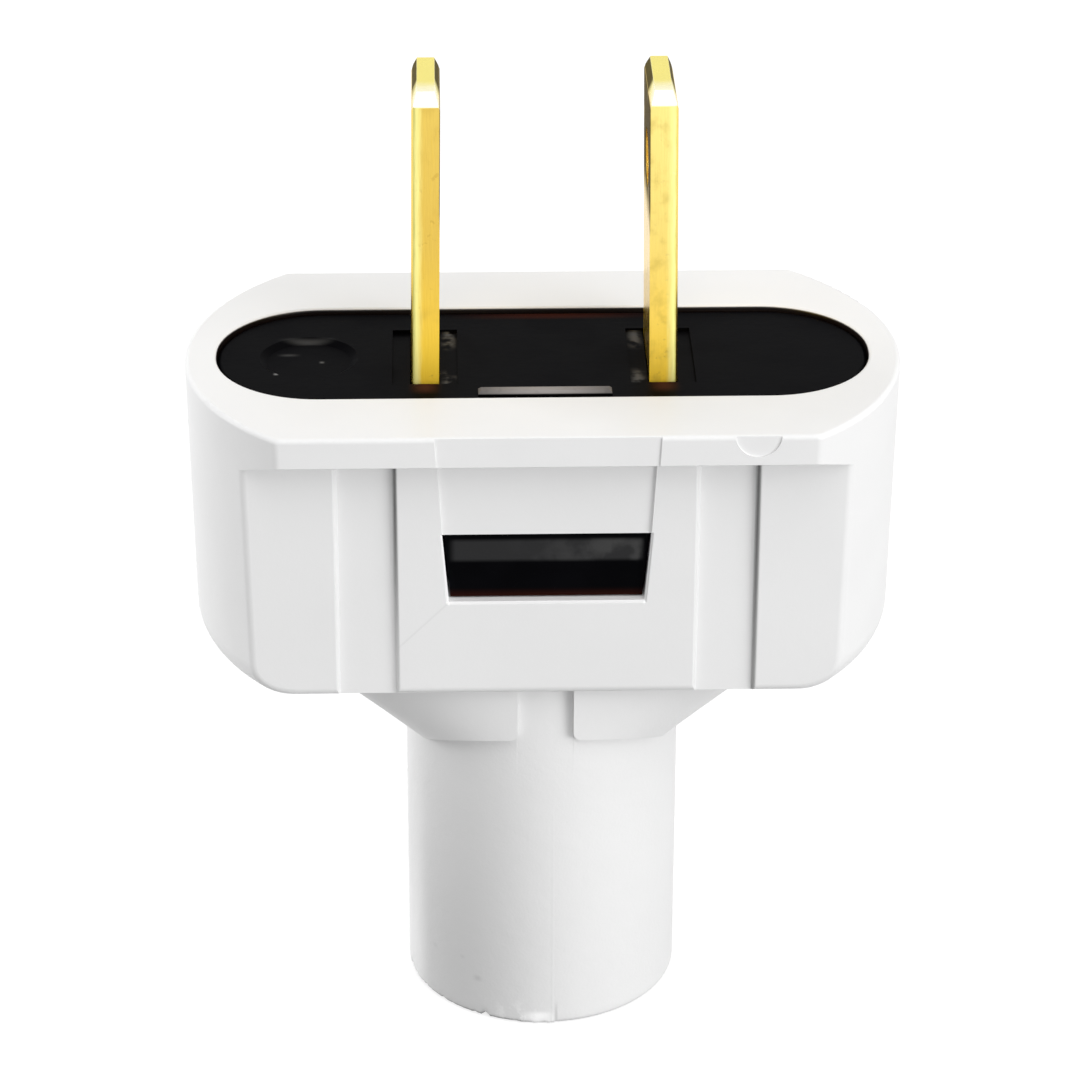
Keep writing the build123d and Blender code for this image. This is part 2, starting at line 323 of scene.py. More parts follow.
# Nicks along the end's edge: angle from the front in degrees, half width in degrees, share of the depth
NICKS = (
    (-26.5, 2.2, 1.0),
    (-31.0, 1.2, 0.45),
    (-49.0, 1.6, 0.35),
    (-62.0, 1.3, 0.4),
    (-79.0, 2.0, 0.9),
    (-84.5, 1.4, 0.5),
)

# Angles between which the end's edge is ragged, and between which it has flash
RAGGED_FROM, RAGGED_TO = -95.0, -8.0
FLASH_FROM, FLASH_TO = -11.5, 4.2

# The ragged edge's share of the nicks' depth, and its layers of noise: waves per degree, seed and strength
RAGGED_SHARE = 0.45
RAGGED_LAYERS = ((0.55, 4.0, 1.0), (1.6, 9.0, 0.5))

# Places on the rest of the shell that masks follow, in millimetres: front panel, window, foot of the head,
# channels and the opening for the core
PANEL_Y = -9.0
WINDOW_LOW = 27.75
WINDOW_TOP = 31.7
WINDOW_LOW_HALF_WIDTH = 5.2
WINDOW_TOP_HALF_WIDTH = 5.525
HEAD_LOW = 22.1
CHANNEL_TOP = 35.7
LEFT_CHANNEL_FOOT = -7.99
RIGHT_CHANNEL_FOOT = 11.11
OPENING_HALF_WIDTH = 17.75
OPENING_HALF_DEPTH = 5.97

# Faint flow line under the window, where x less z is this
FLOW_LINE = -32.95

# Grey marks on the front of the neck: middle, half width and half height in millimetres, and how strong
NECK_MARKS = (
    (-3.75, 2.5, 0.35, 0.3, 0.2),
    (-4.6, 3.6, 0.2, 0.2, 0.1),
    (0.66, 0.7, 0.14, 1.0, 0.3),
    (-6.1, 3.4, 0.2, 0.25, 0.1),
)


def neck_angles(seam_offset):
    """Angles of the neck's columns from the front, in degrees, closer together along the two seams."""
    angles = {round(360 * i / NECK_COLUMNS - 180, 4) for i in range(NECK_COLUMNS)}
    at = math.degrees(math.asin(seam_offset / NECK_RADIUS))
    for seam in (at, 180 - at):
        for column in SEAM_COLUMNS:
            angle = seam + math.degrees(column * SEAM_HALF_WIDTH / NECK_RADIUS)
            angles.add(round((angle + 180) % 360 - 180, 4))
    return sorted(angles)


def neck_profile():
    """Radius and height from the outer wall down, round the end and up the bore."""
    points = [(NECK_RADIUS, NECK_JOIN), *((NECK_RADIUS, height * MM) for height in WALL_HEIGHTS)]
    for i in range(END_ROUND_STEPS + 1):
        turn = math.radians(90 * i / END_ROUND_STEPS)
        inset = NECK_END_ROUND * (1 - math.cos(turn))
        points.append((NECK_RADIUS - inset, NECK_END_ROUND * (1 - math.sin(turn))))
    points += [(radius * MM, 0.0) for radius in END_RADII]
    points += [(BORE_RADIUS + BORE_CHAMFER, 0.0), (BORE_RADIUS + BORE_CHAMFER / 2, BORE_CHAMFER / 2)]
    points += [(BORE_RADIUS, BORE_CHAMFER), *((BORE_RADIUS, height * MM) for height in BORE_HEIGHTS)]
    points.append((BORE_RADIUS, NECK_JOIN))
    return points


def bell(distance, half_width):
    """1 in the middle, 0 from half_width on."""
    share = min(abs(distance) / half_width, 1)
    return 1 - share * share * (3 - 2 * share)


def nick_share(angle):
    """How deep the neck's end is worn at an angle, from 0 to 1."""
    layers = [size * noise.noise(Vector((angle * waves, seed, 0))) for waves, seed, size in RAGGED_LAYERS]
    edge = bell(angle - (RAGGED_FROM + RAGGED_TO) / 2, (RAGGED_TO - RAGGED_FROM) / 2)
    deepest = max(share * bell(angle - at, width) for at, width, share in NICKS)
    return max(deepest, RAGGED_SHARE * max(sum(layers), 0) * math.sqrt(edge))


def worn_point(angle, radius, height, finish):
    """A point of the neck with the seam, the flash and the wear of its end added."""
    outside = bell(NECK_RADIUS - radius, WEAR_INSET) if height < NECK_JOIN else 0
    low = bell(height, WEAR_HEIGHT) * outside
    seam = math.degrees(math.asin(finish.seam_offset / NECK_RADIUS))
    front = math.radians(angle - seam) * NECK_RADIUS
    back = math.radians((angle - (180 - seam) + 180) % 360 - 180) * NECK_RADIUS
    ridge = max(bell(front, SEAM_HALF_WIDTH), bell(back, SEAM_HALF_WIDTH)) * outside
    flash = low if FLASH_FROM < angle < FLASH_TO else 0
    uneven = 0.6 + 0.8 * noise.noise(Vector((angle * 0.9, height / MM * 3, 2.0)))
    worn = nick_share(angle) * low
    radius += ridge * finish.seam_height + flash * uneven * finish.flash_reach
    radius -= worn * finish.nick_depth / 2
    height += worn * finish.nick_depth
    turn = math.radians(angle)
    return Vector((radius * math.sin(turn), -radius * math.cos(turn), height))


def add_neck(work, finish):
    """Adds the neck's lower part as rings of points, and joins them to the two open edges of the shell."""
    angles = neck_angles(finish.seam_offset)
    rings = [[work.verts.new(worn_point(a, r, z, finish)) for a in angles] for r, z in neck_profile()]
    for upper, lower in zip(rings, rings[1:]):
        for i in range(len(angles)):
            j = (i + 1) % len(angles)
            work.faces.new((upper[i], upper[j], lower[j], lower[i]))
    return rings[0], rings[-1]


def ring_edges(ring):
    edges = {edge for vert in ring for edge in vert.link_edges}
    members = set(ring)
    return [edge for edge in edges if members.issuperset(edge.verts)]


def shell_mesh(finish):
    """The frame's shell down to the neck, and below that a neck with its seam, flash and nicks."""
    work = merged_copy("shell")
    cut = (0, 0, NECK_CUT)
    geometry = [*work.verts, *work.edges, *work.faces]
    bmesh.ops.bisect_plane(work, geom=geometry, plane_co=cut, plane_no=(0, 0, 1), clear_inner=True)
    open_edges = [edge for edge in work.edges if edge.is_boundary]
    middle = (NECK_RADIUS + BORE_RADIUS) / 2
    outer = [edge for edge in open_edges if edge.verts[0].co.xy.length > middle]
    inner = [edge for edge in open_edges if edge.verts[0].co.xy.length <= middle]
    outer_ring, inner_ring = add_neck(work, finish)
    bmesh.ops.bridge_loops(work, edges=outer + ring_edges(outer_ring))
    bmesh.ops.bridge_loops(work, edges=inner + ring_edges(inner_ring))
    return to_mesh(work, "shell_moulding")


def neck_scuffs(tree, point, x, y, z):
    """Where the front of the neck's end is rubbed: a broken patch, and a solid one on the flash."""
    broken = tree.noise(point, 0.45, 3.0).smooth(0.5, 0.66) * z.smooth(1.9, 0.2) * x.near(-1.2, 2.6) * 0.6
    solid = x.near(-0.35, 1.1) * z.smooth(0.95, 0.6)
    return (broken | solid) * y.smooth(-5.5, -7.0)


def with_neck_shade_and_marks(tree, base, x, y, z):
    """A colour with painted shade on the neck's left side, the dark edge of its end and its marks."""
    # Painted shade: the left side of the neck is greyed where it turns from the light
    painted_shading = x.smooth(2.5, -6.5) * x.smooth(-7.3, -6.3) * z.smooth(22.0, 2.0) * y.smooth(-1.0, -2.5)
    base = tree.mix(painted_shading * 0.52, base, grey(0.45))
    dirty_edge = z.smooth(0.3, 0.15) * x.smooth(-0.3, -1.6) * y.smooth(-1.0, -3.0)
    base = tree.mix(dirty_edge * 0.75, base, grey(0.12))
    for mark_x, mark_z, half_width, half_height, strength in NECK_MARKS:
        mark = x.near(mark_x, half_width) * z.near(mark_z, half_height) * y.smooth(-1.0, -2.0)
        base = tree.mix(mark * strength, base, grey(0.15))
    return base


def window_reveal_light(x, y, z):
    """The window's sill and its two leaning sides, painted light as a painted highlight where they lie in
    shade.
    """
    lean = (WINDOW_TOP_HALF_WIDTH - WINDOW_LOW_HALF_WIDTH) / (WINDOW_TOP - WINDOW_LOW)
    sill = z.near(WINDOW_LOW, 0.04) * abs(x).smooth(WINDOW_LOW_HALF_WIDTH + 0.2, WINDOW_LOW_HALF_WIDTH)
    sides = (abs(x) - (z - WINDOW_LOW) * lean).near(WINDOW_LOW_HALF_WIDTH, 0.08)
    sides = sides * z.smooth(WINDOW_LOW - 0.25, WINDOW_LOW - 0.05) * z.smooth(WINDOW_TOP + 0.2, WINDOW_TOP)
    return (sill | sides) * y.smooth(PANEL_Y + 0.7, PANEL_Y + 0.6)


def channel_shade(x, y, z):
    """Painted shade along the right-hand foot of the two front channels, where the walls face away from the
    light.
    """
    left = x.near(LEFT_CHANNEL_FOOT, 0.17) * z.smooth(HEAD_LOW + 0.3, 33.5)
    right = x.near(RIGHT_CHANNEL_FOOT, 0.17) * (z.smooth(HEAD_LOW - 1.1, 33.0) * 0.4 + 0.6)
    depth = y.smooth(PANEL_Y + 0.8, PANEL_Y + 0.5)
    return (left | right) * depth * z.smooth(CHANNEL_TOP + 0.2, CHANNEL_TOP - 0.1)


def core_gap_shade(x, y, z):
    """The upper walls of the opening round the core, painted dark as a painted shade."""
    rim_z = RIM_TOP / MM
    sides = abs(y).smooth(OPENING_HALF_DEPTH, OPENING_HALF_DEPTH - 0.05)
    ends = abs(x).smooth(OPENING_HALF_WIDTH, OPENING_HALF_WIDTH - 0.1)
    return sides * ends * z.smooth(rim_z - 1.3, rim_z - 0.8) * z.smooth(rim_z - 0.06, rim_z - 0.13)


def white_plastic(finish):
    """Satin white plastic with a faint orange peel and rubbed patches, painted shade on the neck's left side,
    along the channels and round the core, and a painted highlight on the window's reveal.
    """
    material, tree = new_material("shell_white")
    point, x, y, z = tree.place()
    clouds = tree.noise(point, 7.0).smooth(0.3, 0.75)
    specks = tree.noise(point, 0.35, 3.0).smooth(0.7, 0.78)
    scuffs_and_sheen = neck_scuffs(tree, point, x, y, z)
    base = tree.mix(clouds * 0.6 + specks * 0.4, finish.colour, [0.965 * c for c in finish.colour])
    base = with_neck_shade_and_marks(tree, base, x, y, z)
    # Rubbed patches on the neck, and a painted highlight on the window's sill and sides
    base = tree.mix(scuffs_and_sheen | window_reveal_light(x, y, z), base, finish.scuff_and_lit_colour)
    flow = (x - z).near(FLOW_LINE, 0.14) * y.smooth(PANEL_Y + 0.2, PANEL_Y + 0.1)
    flow = flow * z.smooth(24.9, 25.3) * z.smooth(27.9, 27.7)
    base = tree.mix(flow * 0.1, base, grey(0.3))
    # Painted shade along the right-hand feet of the channels
    base = tree.mix(channel_shade(x, y, z) * 0.9, base, finish.channel_shade_colour)
    # Painted shade on the upper walls of the opening round the core
    base = tree.mix(core_gap_shade(x, y, z), base, finish.gap_shade_colour)
    peel = tree.noise(point, 0.9, 1.0) * 0.7 + tree.noise(point, 0.16) * 0.3
    peel = peel * (z.smooth(HEAD_LOW - 1.1, HEAD_LOW - 5.1) * 1.8 + 1.0)
    tree.finish(
        Base_Color=base,
        Roughness=clouds * 0.06 + scuffs_and_sheen * 0.25 + finish.roughness,
        IOR=1.46,
        Normal=tree.bump(peel + scuffs_and_sheen * 0.5, 0.012),
    )
    return material


class PLUG_OT_shell(bpy.types.Operator):
    """Make the white shell with its seam, flash and worn neck"""

    bl_idname = "plug.shell"
    bl_label = "Shell"

    def execute(self, context):
        finish = context.scene.plug_shell
        piece = add_object("shell_moulding", shell_mesh(finish))
        smooth_by_angle(piece.data)
        exact_normals(piece.data, "shell")
        set_material(piece, white_plastic(finish))
        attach(piece, BODY)
        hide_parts("shell")
        return {"FINISHED"}


# Core


class CoreFinish(bpy.types.PropertyGroup):
    colour: colour_field("Plastic", "Colour of the black plastic", (0.0018, 0.0018, 0.0023))
    # Painted light: grey for the nub's upright land where it catches the light
    nub_lit_colour: colour_field("Nub", "Colour of the nub, greyed by use", (0.03, 0.03, 0.031))
    # Painted highlight: pale grey for the top of the finger rib where it catches the light
    rib_sheen_colour: colour_field("Rib", "Colour where the finger rib is rubbed pale", (0.33, 0.31, 0.3))
    # Painted brown shade at the foot of the nub's ramp and along the face's back edge
    edge_colour: colour_field("Thin edge", "Colour where light comes through the edge", (0.03, 0.007, 0.004))
    # Painted reflection of the brass blades on the face in front of each
    reflection_colour: colour_field("Smudge", "Brown smudge in front of each blade", (0.06, 0.02, 0.012))
    roughness: roughness_field("Roughness of the plastic", 0.28)


# Upright land of the nub, above its ramp, and half the width of the rib on the face, in millimetres
LAND_LOW = 29.9
LAND_TOP = 31.4
LAND_HALF_WIDTH = 5.25
RIB_HALF_WIDTH = 6.5

# Pale marks on the face, the first two a painted highlight on the back wall of the dimple: middle, half width
# and half depth in millimetres, and how pale
FACE_SHEEN_AND_MARKS = (
    (-12.7, 2.35, 1.8, 0.32, 0.05),
    (-13.7, 0.85, 0.75, 0.25, 0.04),
    (-14.3, -2.1, 0.2, 0.2, 0.2),
    (-11.9, -0.1, 0.2, 0.2, 0.1),
)


def with_face_marks_and_sheen(tree, base, finish, point, x, y, z):
    """A colour with the painted reflection of the blades, the scraped recesses beside the blades and the pale
    marks of the face, two of them a painted highlight in the dimple.
    """
    face_z = FACE_TOP / MM
    past_blade = abs(x) - BLADE_SPACING / 2
    # Painted reflection: a brown tint in front of each blade for the blades mirrored in the face
    reflection = past_blade.near(0.0, 1.0) * y.smooth(-4.9, -4.0) * y.smooth(-3.0, -3.3)
    base = tree.mix(reflection * 0.8, base, finish.reflection_colour)
    on_face = z.smooth(face_z - 0.4, face_z - 0.3)
    in_recess = on_face * z.smooth(face_z - 0.1, face_z - 0.15)
    scraped = past_blade.near(-1.3, 0.55) * abs(y).smooth(1.0, 2.2) * tree.noise(point, 0.9).smooth(0.4, 0.6)
    base = tree.mix(scraped * in_recess, base, grey(0.1))
    # The first two are a painted highlight on the dimple's back wall, the last two small pale dots
    for mark_x, mark_y, half_width, half_depth, level in FACE_SHEEN_AND_MARKS:
        mark = x.near(mark_x, half_width) * y.near(mark_y, half_depth) * on_face
        base = tree.mix(mark, base, grey(level))
    return base


def black_plastic(finish):
    """Black plastic: glossy face, a painted highlight on the rib, the nub's land painted grey as lit, and
    painted brown shade at the ramp's foot and the back edge.
    """
    material, tree = new_material("core_black")
    point, x, y, z = tree.place()
    face_z = FACE_TOP / MM
    clouds = tree.noise(point, 3.0).smooth(0.35, 0.7)
    scratches = tree.noise(tree.stretched(point, (0.5, 6.0, 1.0)), 0.6, 3.0)
    base = tree.mix(clouds * 0.5, finish.colour, [1.9 * c for c in finish.colour])
    base = with_face_marks_and_sheen(tree, base, finish, point, x, y, z)
    nub = y.smooth(-6.2, -6.9)
    # Painted light: the nub's upright land is painted grey as lit, more so in patches towards the right
    land = z.smooth(LAND_LOW, LAND_LOW + 0.3) * z.smooth(LAND_TOP, LAND_TOP - 0.3)
    land = land * nub * abs(x).smooth(LAND_HALF_WIDTH, LAND_HALF_WIDTH - 0.5)
    painted_shading = tree.noise(point, 1.3, 3.0).smooth(0.45, 0.7) * x.smooth(-3, 5)
    base = tree.mix(land, base, finish.nub_lit_colour)
    base = tree.mix(land * painted_shading, base, grey(0.06))
    # Painted brown shade at the ramp's foot and along the back edge, where the walls round the core lie in
    # shade
    ramp_foot = nub * z.smooth(28.4, 27.8) * 0.7
    back_edge = y.smooth(4.7, 5.2) * z.smooth(face_z - 0.6, face_z - 0.1) * x.near(0.8, RIB_HALF_WIDTH)
    base = tree.mix(ramp_foot | back_edge, base, finish.edge_colour)
    # Painted highlight: the top of the finger rib is painted pale grey where it catches the light
    on_rib = z.smooth(face_z + 0.12, face_z + 0.2) * x.near(0.0, RIB_HALF_WIDTH)
    scuffs_and_sheen = on_rib * (tree.noise(point, 0.5, 3.0).smooth(0.2, 0.45) * 0.15 + 0.85)
    base = tree.mix(scuffs_and_sheen, base, finish.rib_sheen_colour)
    tree.finish(
        Base_Color=base,
        Roughness=clouds * 0.12 + scratches * 0.08 + nub * 0.2 + finish.roughness,
        IOR=1.05,
        Normal=tree.bump(tree.noise(point, 0.5) + scratches * 0.3, 0.008),
    )
    return material


class PLUG_OT_core(bpy.types.Operator):
    """Finish the black core and the plate under it"""

    bl_idname = "plug.core"
    bl_label = "Core"

    def execute(self, context):
        material = black_plastic(context.scene.plug_core)
        for node in ("core", "core_base"):
            set_material(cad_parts[node], material)
        return {"FINISHED"}


# Blades


class BladeFinish(bpy.types.PropertyGroup):
    tip_colour: colour_field("Tip", "Colour of the brass at the tip", (0.93, 0.69, 0.16))
    colour: colour_field("Brass", "Colour of the brass half way up", (0.86, 0.6, 0.12))
    root_colour: colour_field("Root", "Colour of the brass near the face", (1.0, 0.66, 0.05))
    rolled_colour: colour_field("Rolled edge", "Pale strip where the edge is rolled over", (1.0, 0.93, 0.34))
    edge_colour: colour_field("Edge", "Greenish line along the outer edge", (0.52, 0.52, 0.14))
    top_colour: colour_field("Top", "Colour of the tip's top", (0.88, 0.76, 0.16))
    # Painted highlight on the tip's front corner, where its chamfer catches the light
    corner_glint_colour: colour_field("Worn corner", "Colour of the tip's corner, worn bright", (0.95, 0.9, 0.62))
    # Painted dark reflection on the top of the inner faces, and painted shade on the tip's bevels
    reflection_shade_colour: colour_field("Stain", "Dark stain at the top of the inner faces", (0.05, 0.035, 0.012))
    roughness: roughness_field("Roughness of the brass", 0.14)


# Shades that are mixed in: spots on all faces, and on the narrow edges the right blade's paler upper part,
# the left blade's darker one and the right blade's mottle
SPOT_BROWN = (0.45, 0.27, 0.05)
PALE_BRASS = (1.0, 0.86, 0.3)
DARK_BRASS = (0.6, 0.38, 0.05)
MOTTLE_BROWN = (0.5, 0.34, 0.05)


def blade_brass(finish):
    """Brass with drawn lines along the blade, brown spots, pale rolled edges, a painted highlight on the
    tip's corner, a painted dark reflection on the top of the inner faces and painted shade on the tip's
    bevels.
    """
    material, tree = new_material("blade_brass")
    point, x, y, z = tree.place()
    tip_z = BLADE_HIGH.z / MM
    up = (z - FACE_TOP / MM) * (MM / (BLADE_HIGH.z - FACE_TOP))
    outward = abs(x) + up * TOE_IN - BLADE_SPACING / 2
    on_right = x.smooth(-1, 1)
    shades = {"stops": ((0.0, finish.root_colour), (0.5, finish.colour), (1.0, finish.tip_colour))}
    base = tree.node("ShaderNodeValToRGB", shades, {"Fac": up})
    lines = tree.noise(tree.stretched(point, (5.0, 5.0, 0.35)), 0.5, 3.0)
    blotches = tree.noise(tree.stretched(point, (1.0, 1.0, 0.6)), 1.3, 3.0)
    spots = tree.noise(point, 0.5).smooth(0.66, 0.74)
    base = tree.mix(lines.smooth(0.5, 0.9) * 0.35, base, finish.root_colour)
    base = tree.mix(blotches.smooth(0.5, 0.8) * 0.3 + spots * 0.3, base, SPOT_BROWN)

    sheared = abs(y).smooth(BLADE_WIDTH / 2 - 0.1, BLADE_WIDTH / 2 - 0.04)
    mottle = tree.noise(tree.stretched(point, (1.0, 1.0, 0.8)), 0.8, 4.0).smooth(0.45, 0.7)
    wavering = lines * 0.25 + outward
    base = tree.mix(sheared * on_right * up * 0.8, base, PALE_BRASS)
    base = tree.mix(sheared * (1 - on_right) * up.smooth(0.1, 0.5) * 0.3, base, DARK_BRASS)
    base = tree.mix(sheared * on_right * mottle * 0.35, base, MOTTLE_BROWN)
    base = tree.mix(sheared * wavering.smooth(0.2, 0.62) * 0.9, base, finish.rolled_colour)
    base = tree.mix(sheared * wavering.smooth(0.62, 0.8) * 0.8, base, finish.edge_colour)

    # Painted highlight on the tip's front corner
    on_tip = z.smooth(tip_z - TIP_CORNER - 0.02, tip_z - TIP_CORNER + 0.03)
    corner_line = tip_z + BLADE_WIDTH / 2 - TIP_CORNER
    corner = on_tip * (z - y + blotches * 1.2).smooth(corner_line - 1.2, corner_line + 0.5)
    base = tree.mix(on_tip, base, finish.top_colour)
    base = tree.mix(corner, base, finish.corner_glint_colour)

    # Painted dark reflection at the top of the inner faces, and painted shade on the tip's bevels
    inside = (outward + BLADE_THICKNESS / 2).smooth(0.06, 0.01)
    on_bevel = z.smooth(tip_z - TIP_BEVEL, tip_z - 0.8 * TIP_BEVEL) * z.smooth(tip_z - 0.01, tip_z - 0.1)
    on_bevel = on_bevel * (y + blotches * 1.5).smooth(-0.8, 0.4)
    reflection_and_shade = inside * blotches.smooth(0.1, 0.4) * (z + blotches).smooth(tip_z - 7.6, tip_z - 5.4) | on_bevel
    base = tree.mix(reflection_and_shade * 0.95, base, finish.reflection_shade_colour)
    tree.finish(
        Base_Color=base,
        Metallic=1.0 - (sheared * (0.75 - up.smooth(0.0, 0.3) * 0.3) | reflection_and_shade),
        Roughness=lines * 0.12 + blotches * 0.1 + (sheared | reflection_and_shade) * 0.2 + finish.roughness,
        IOR=1.03,
        Normal=tree.bump(lines + spots * -0.6, 0.012),
    )
    return material


class PLUG_OT_blades(bpy.types.Operator):
    """Finish the two brass blades"""

    bl_idname = "plug.blades"
    bl_label = "Blades"

    def execute(self, context):
        material = blade_brass(context.scene.plug_blades)
        for node in ("blade_left", "blade_right"):
            set_material(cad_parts[node], material)
        return {"FINISHED"}


# Screws and clamp plates


class ScrewThread(bpy.types.PropertyGroup):
    pitch: length_field("Pitch", "Rise of the thread in one turn", 0.6 * MM)
    depth: length_field("Depth", "Depth of the thread", 0.24 * MM)
    steps: IntProperty(name="Steps", description="Points in one turn of the thread", default=28, min=8)


# Height of the thread's crest, and its distance from the shank's two ends, as shares of its depth
CREST_SHARE = 0.98
END_SHARE = 1.2


def thread_tree():
    """Geometry Nodes tree that winds a thread up the Z axis, sets it in place and adds it to a screw."""
    group = bpy.data.node_groups.new("screw_thread", "GeometryNodeTree")
    face = group.interface
    face.new_socket("Geometry", in_out="OUTPUT", socket_type="NodeSocketGeometry")
    for name, kind in (
        ("Geometry", "NodeSocketGeometry"),
        ("Root Radius", "NodeSocketFloat"),
        ("Depth", "NodeSocketFloat"),
        ("Length", "NodeSocketFloat"),
        ("Pitch", "NodeSocketFloat"),
        ("Steps", "NodeSocketInt"),
        ("Start", "NodeSocketVector"),
        ("Turn", "NodeSocketVector"),
        ("Material", "NodeSocketMaterial"),
    ):
        face.new_socket(name, in_out="INPUT", socket_type=kind)
    given = group.nodes.new("NodeGroupInput").outputs

    def add(kind, inputs, **settings):
        node = group.nodes.new(kind)
        for name, setting in settings.items():
            setattr(node, name, setting)
        for name, value in inputs.items():
            for link in value if isinstance(value, list) else [value]:
                if isinstance(link, bpy.types.NodeSocket):
                    group.links.new(link, node.inputs[name])
                else:
                    node.inputs[name].default_value = link
        return node.outputs

    turns = add("ShaderNodeMath", {0: given["Length"], 1: given["Pitch"]}, operation="DIVIDE")[0]
    spiral = add(
        "GeometryNodeCurveSpiral",
        {
            "Resolution": given["Steps"],
            "Rotations": turns,
            "Start Radius": given["Root Radius"],
            "End Radius": given["Root Radius"],
            "Height": given["Length"],
        },
    )[0]
    level = add("GeometryNodeSetCurveNormal", {"Curve": spiral}, mode="Z_UP")[0]
    section = add("GeometryNodeCurvePrimitiveCircle", {"Resolution": 4, "Radius": given["Depth"]})[0]
    ridge = add("GeometryNodeCurveToMesh", {"Curve": level, "Profile Curve": section, "Fill Caps": True})[0]
    placed = add(
        "GeometryNodeTransform", {"Geometry": ridge, "Translation": given["Start"], "Rotation": given["Turn"]}
    )[0]
    joined = add("GeometryNodeJoinGeometry", {"Geometry": [placed, given["Geometry"]]})[0]
    real = add("GeometryNodeRealizeInstances", {"Geometry": joined})[0]
    finished = add("GeometryNodeSetMaterial", {"Geometry": real, "Material": given["Material"]})[0]
    group.links.new(finished, group.nodes.new("NodeGroupOutput").inputs["Geometry"])
    return group


def run_tree(piece, group, values):
    """Gives a piece the tree's result as its plain mesh."""
    modifier = piece.modifiers.new(group.name, "NODES")
    modifier.node_group = group
    for item in group.interface.items_tree:
        if item.in_out == "INPUT" and item.name in values:
            modifier[item.identifier] = values[item.name]
    bpy.context.view_layer.update()
    result = bpy.data.meshes.new_from_object(piece.evaluated_get(bpy.context.evaluated_depsgraph_get()))
    piece.modifiers.remove(modifier)
    piece.data = result
    smooth_by_angle(result)


def screw_metal(name, shade, roughness):
    """Turned metal with a fine grain and a little dirt."""
    material, tree = new_material(name)
    point, *_ = tree.place()
    dirt = tree.noise(point, 0.8, 3.0).smooth(0.45, 0.8)
    grain = tree.noise(point, 1 / 14)
    tree.finish(
        Base_Color=tree.mix(dirt * 0.5, shade, [0.4 * c for c in shade]),
        Metallic=1.0,
        Roughness=dirt * 0.2 + grain * 0.1 + roughness,
        Normal=tree.bump(grain, 0.006),
    )
    return material


# Each screw: its node, the way it points from its head, its shank's radius and length, and its slot
SCREWS = (
    ("terminal_screw_left", Vector((1, 0, 0)), 1.75 * MM, 4.7 * MM, "screw_brass"),
    ("terminal_screw_right", Vector((-1, 0, 0)), 1.75 * MM, 4.7 * MM, "screw_brass"),
    ("core_screw", Vector((0, 0, 1)), 1.45 * MM, 6.0 * MM, "screw_steel"),
)


def threaded_screw(node, way, shank_radius, length, group, thread, material):
    """A screw whose plain shank is turned down to the root, with a thread wound on it."""
    low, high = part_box(node)
    middle = (low + high) / 2
    half = (high - low).dot(Vector(map(abs, way))) / 2
    tip = middle + way * half
    root_radius = shank_radius - thread.depth
    work = merged_copy(node)
    for vert in work.verts:
        away = vert.co - tip
        along = away.dot(way)
        across = away - way * along
        if -along < length - 0.01 * MM and across.length > root_radius:
            vert.co = tip + way * along + across.normalized() * root_radius
    piece = add_object(f"{node}_threaded", to_mesh(work, f"{node}_threaded"))
    values = {
        "Root Radius": root_radius,
        "Depth": thread.depth * CREST_SHARE,
        "Length": length - 2 * END_SHARE * thread.depth,
        "Pitch": thread.pitch,
        "Steps": thread.steps,
        "Start": tuple(tip - way * END_SHARE * thread.depth),
        "Turn": tuple(Vector((0, 0, 1)).rotation_difference(-way).to_euler()),
        "Material": material,
    }
    run_tree(piece, group, values)
    return piece


class PLUG_OT_screws(bpy.types.Operator):
    """Make the threaded screws and finish the clamp plates"""

    bl_idname = "plug.screws"
    bl_label = "Screws"

    def execute(self, context):
        thread = context.scene.plug_thread
        metals = {
            "screw_brass": screw_metal("screw_brass", (0.8, 0.6, 0.26), 0.25),
            "screw_steel": screw_metal("screw_steel", (0.62, 0.62, 0.6), 0.3),
        }
        group = thread_tree()
        for node, way, shank_radius, length, slot in SCREWS:
            piece = threaded_screw(node, way, shank_radius, length, group, thread, metals[slot])
            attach(piece, BODY)
            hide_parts(node)
        for side in ("left", "right"):
            set_material(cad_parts[f"clamp_plate_{side}"], metals["screw_steel"])
        return {"FINISHED"}


# Stage


class StudioStage(bpy.types.PropertyGroup):
    camera_place: FloatVectorProperty(
        name="Camera",
        description="Place of the camera",
        subtype="TRANSLATION",
        default=(-0.005637, -0.2025, 0.13054),
    )
    camera_turn: FloatVectorProperty(
        name="Camera turn",
        description="Azimuth, elevation and roll of the camera",
        subtype="EULER",
        default=(math.radians(-1.561), math.radians(27.11), math.radians(0.162)),
    )
    lens: FloatProperty(
        name="Lens", description="Focal length for the sensor's width", default=137.56, unit="CAMERA"
    )
    key_power: power_field("Key", "Power of the light on the right", 1.0)
    low_power: power_field("Low", "Power of the low light in front", 0.54)
    front_power: power_field("Front", "Power of the light over the camera", 0.65)
    top_power: power_field("Top", "Power of the light overhead", 0.32)
    rim_power: power_field("Rim", "Power of the light behind on the left", 2.1)
    ambient: FloatProperty(name="Ambient", description="Strength of the light from all round", default=0.59)


# Softboxes, each half a metre from the plug: azimuth and elevation in degrees, width and height in metres
SOFTBOX_DISTANCE = 0.5
SOFTBOXES = {
    "key": (52, 14, 0.3, 0.4),
    "low": (42, 6, 0.3, 0.12),
    "front": (15, 58, 0.35, 0.35),
    "top": (165, 62, 0.4, 0.4),
    "rim": (-112, 6, 0.25, 0.4),
}

# Half the floor's width in metres, and the width of the camera's sensor in millimetres
FLOOR_HALF_WIDTH = 3.0
SENSOR_WIDTH = 36


